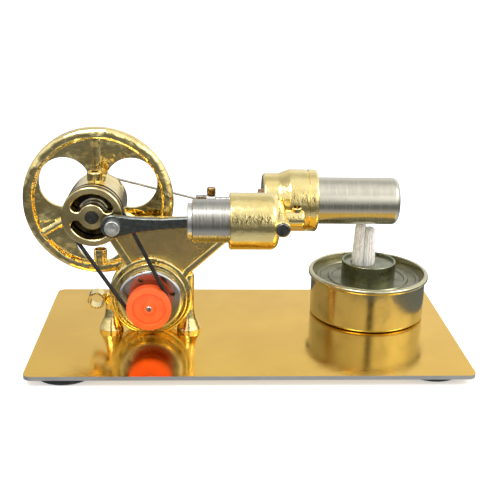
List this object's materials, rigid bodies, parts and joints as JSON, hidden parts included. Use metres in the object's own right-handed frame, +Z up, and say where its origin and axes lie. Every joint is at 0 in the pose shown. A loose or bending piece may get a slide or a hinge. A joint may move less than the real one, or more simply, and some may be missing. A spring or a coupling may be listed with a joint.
{
  "type": "hot-air engine model with generator",
  "caption": "Table-top hot-air engine on a plate: flywheel, power and displacer cylinders, belt-driven generator and spirit burner.",
  "frame": {"origin": "under the middle of the whole engine, on the surface that its four rubber pads stand on", "axes": "+X from the flywheel end to the burner end, +Y from the crank disc side to the displacer side, +Z up"},
  "size_m": [0.1656, 0.0832, 0.0824],
  "materials": {
    "gold_plate": "polished gold-coloured sheet",
    "gold_casting": "polished gold-plated casting",
    "rubber": "matt black rubber",
    "steel": "satin steel",
    "dark_steel": "dark ground steel",
    "disc_gold": "dark gold turned face",
    "brass": "turned brass",
    "bronze": "plain bronze bush",
    "belt": "matt black rubber cord",
    "orange_plastic": "moulded orange plastic",
    "black_plastic": "moulded nylon",
    "motor_steel": "nickel-plated drawn steel",
    "copper": "enamelled copper winding",
    "ferrite": "sintered ferrite",
    "tin": "tin-plated sheet",
    "cotton": "plaited white cotton",
    "gasket": "heat-proof gasket"
  },
  "bodies": {
    "root": {"base_plate": "gold_plate", "foot_front_left": "rubber", "foot_front_right": "rubber", "foot_rear_left": "rubber", "foot_rear_right": "rubber", "frame_screws": "steel", "engine_frame": "gold_casting", "cylinder_block": "gold_casting", "bearing_front": "motor_steel", "bearing_rear": "motor_steel", "transfer_port_plug": "dark_steel", "power_cylinder": "steel", "hot_cap": "steel", "cap_retaining_ring": "gold_casting", "cap_seal": "gasket", "rod_guide_bush": "bronze", "generator_can": "motor_steel", "generator_end_cap": "black_plastic", "generator_magnets": "ferrite", "generator_terminals": "brass", "drive_belt": "belt"},
    "crank": {"crankshaft": "dark_steel", "crank_disc": "disc_gold", "flywheel": "gold_casting", "flywheel_set_screw": "dark_steel"},
    "rotor": {"generator_rotor": "copper", "generator_shaft": "motor_steel", "generator_pulley": "orange_plastic"},
    "piston": {"power_piston": "steel", "wrist_pin": "steel"},
    "conrod": {"conrod": "dark_steel", "conrod_bush": "bronze", "crank_pin_screw": "steel"},
    "displacer": {"displacer": "steel", "displacer_rod": "steel", "clevis": "steel", "clevis_pin": "steel", "clevis_screw": "brass"},
    "displacer_link": {"displacer_link": "steel", "displacer_crank_pin": "steel"},
    "burner": {"burner_can": "tin", "burner_lid": "tin", "wick_tube": "tin", "wick": "cotton"}
  },
  "joints": [
    {"name": "crank_spin", "type": "hinge", "parent": "root", "child": "crank", "pos_m": [-0.0544, 0, 0.05403], "axis": [0, 1, 0], "continuous": true},
    {"name": "generator_spin", "type": "hinge", "parent": "root", "child": "rotor", "pos_m": [-0.0347, 0, 0.01878], "axis": [0, 1, 0], "continuous": true},
    {"name": "piston_slide", "type": "slide", "parent": "root", "child": "piston", "axis": [1, 0, 0], "range_m": [-0.01565, 0.00035]},
    {"name": "conrod_swing", "type": "hinge", "parent": "piston", "child": "conrod", "pos_m": [-0.01075, -0.0188, 0.05403], "axis": [0, 1, 0], "range_deg": [-9.43, 16.25]},
    {"name": "displacer_slide", "type": "slide", "parent": "root", "child": "displacer", "axis": [1, 0, 0], "range_m": [-0.01027, 0.00773]},
    {"name": "displacer_link_swing", "type": "hinge", "parent": "displacer", "child": "displacer_link", "pos_m": [-0.01593, 0.0107, 0.05358], "axis": [0, 1, 0], "range_deg": [-27.48, 0.52]},
    {"name": "burner_slide", "type": "slide", "parent": "root", "child": "burner", "axis": [0, -1, 0], "range_m": [0, 0.03]}
  ],
  "couplings": [
    {"joint": "generator_spin", "follows": "crank_spin", "ratio": 1.34}
  ]
}
